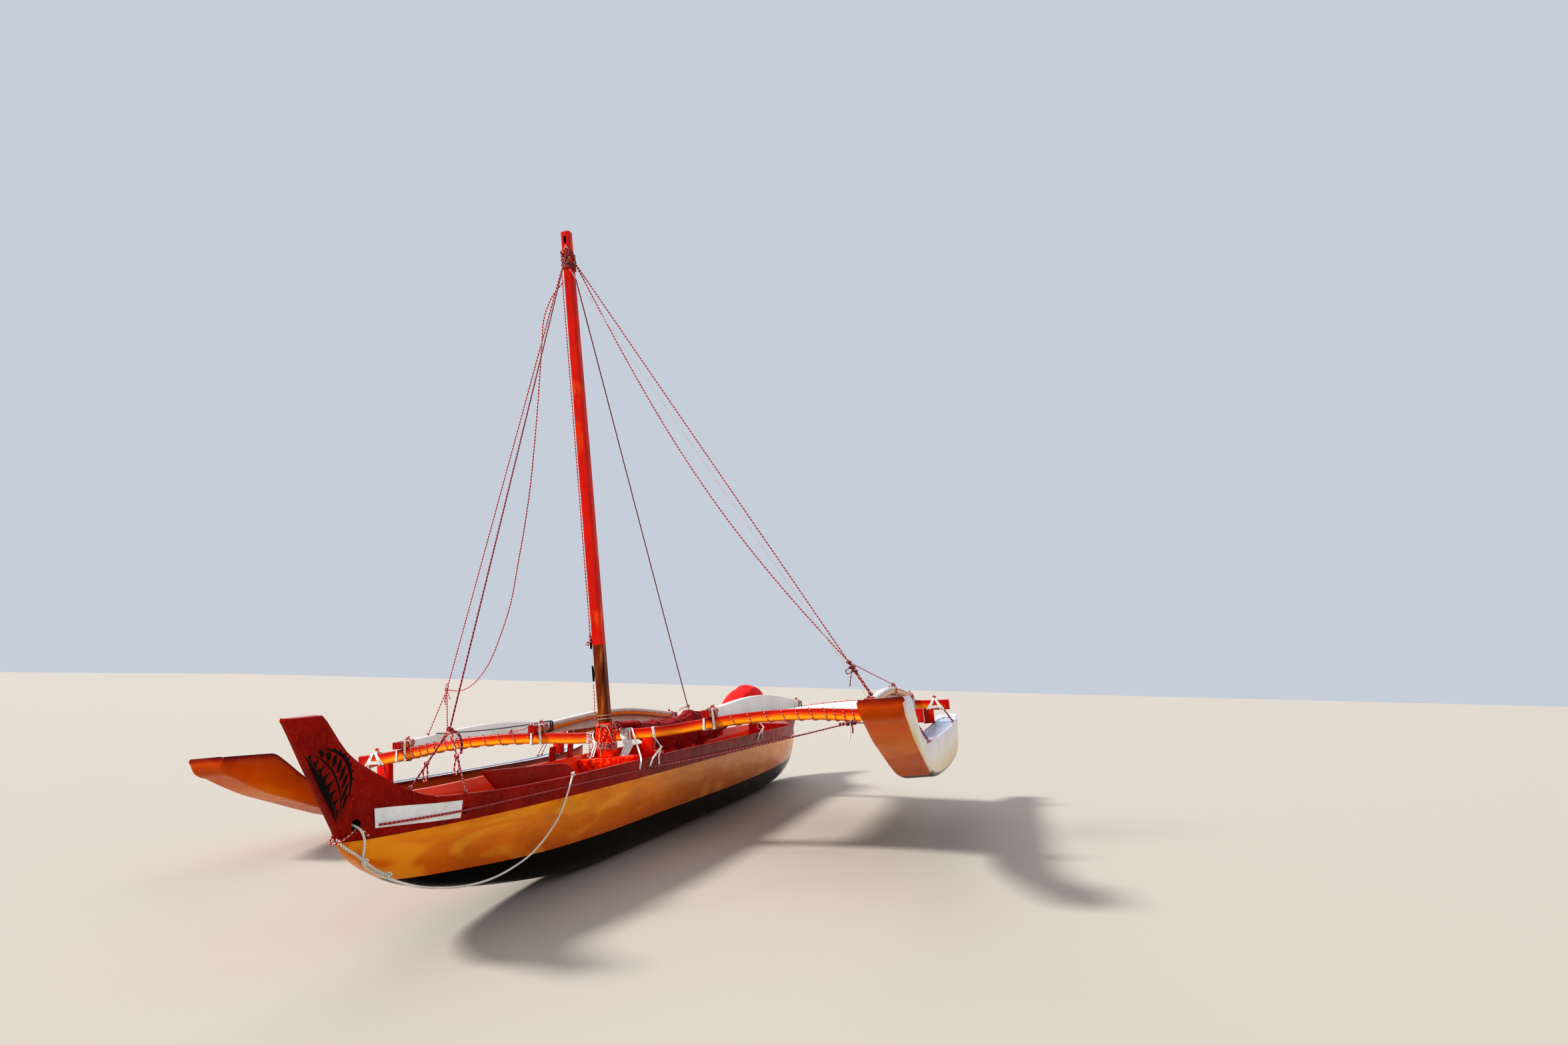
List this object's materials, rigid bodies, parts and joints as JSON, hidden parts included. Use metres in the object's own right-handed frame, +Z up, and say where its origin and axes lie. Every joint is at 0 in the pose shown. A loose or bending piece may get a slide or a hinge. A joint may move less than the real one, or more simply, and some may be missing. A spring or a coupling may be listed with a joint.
{
  "type": "double outrigger sailing canoe",
  "caption": "Narrow sailing canoe with a float on each side, arched crossbeams, trampolines, a stayed mast and a furled sail on a hinged boom.",
  "frame": {"origin": "middle of the canoe's box, on the plane that its keel and starboard float rest on", "axes": "+X to the bow along the keel, +Y to port, +Z up; the hull is upright and the rig leans 6.47 degrees to starboard of it"},
  "size_m": [9.708, 4.9292, 4.8929],
  "materials": {
    "hull_gloss": "gloss paint, orange above and black below",
    "band_paint": "gloss dark red paint",
    "end_piece_paint": "gloss dark red paint with a painted ornament",
    "plate_white": "matte white",
    "red_wood": "satin red paint",
    "beam_paint": "gloss paint fading from red to orange",
    "float_gloss": "gloss paint fading from red to orange and cream",
    "mast_varnish": "glossy brown",
    "net_fabric": "white coated mesh cloth",
    "cover_fabric": "red sail cover cloth",
    "rope_red": "braided red and white rope",
    "rope_white": "braided white rope",
    "black_fitting": "satin black"
  },
  "bodies": {
    "canoe": {"hull_shell": "hull_gloss", "gunwale_port": "band_paint", "gunwale_starboard": "band_paint", "bow_manu": "end_piece_paint", "stern_manu": "end_piece_paint", "bow_plate": "plate_white", "seat_bow": "red_wood", "seat_fore": "red_wood", "seat_mid": "red_wood", "seat_stern": "red_wood", "iako_front": "beam_paint", "iako_rear": "beam_paint", "saddle_front_port": "red_wood", "saddle_front_starboard": "red_wood", "saddle_rear_port": "red_wood", "saddle_rear_starboard": "red_wood", "pedestal_front_port": "red_wood", "pedestal_front_starboard": "red_wood", "pedestal_rear_port": "red_wood", "pedestal_rear_starboard": "red_wood", "peg_front_port": "red_wood", "peg_front_starboard": "red_wood", "peg_rear_port": "red_wood", "peg_rear_starboard": "red_wood", "rail_inner_port": "beam_paint", "rail_inner_starboard": "beam_paint", "rail_outer_port": "beam_paint", "rail_outer_starboard": "beam_paint", "trampoline_port": "net_fabric", "trampoline_starboard": "net_fabric", "float_port": "float_gloss", "float_starboard": "float_gloss", "side_bracket_fore": "band_paint", "side_bracket_aft": "band_paint", "side_board": "red_wood", "mast_step": "red_wood", "mast_boot": "red_wood", "mast": "mast_varnish", "mast_cleat_lower": "black_fitting", "mast_cleat_upper": "black_fitting", "forestay": "rope_red", "shroud_port": "rope_red", "shroud_starboard": "rope_red", "topping_lift": "rope_red", "boom_jaw": "black_fitting", "bow_line": "rope_white", "slack_halyard": "rope_red"},
    "sail_boom": {"boom_eye": "black_fitting", "sail_bundle": "cover_fabric"}
  },
  "joints": [
    {"name": "sail_boom_lift", "type": "hinge", "parent": "canoe", "child": "sail_boom", "pos_m": [1.35, -0.02622, 0.92946], "axis": [0, 0.9936, 0.1127], "range_deg": [0, 70], "deforming": ["topping_lift"]}
  ]
}
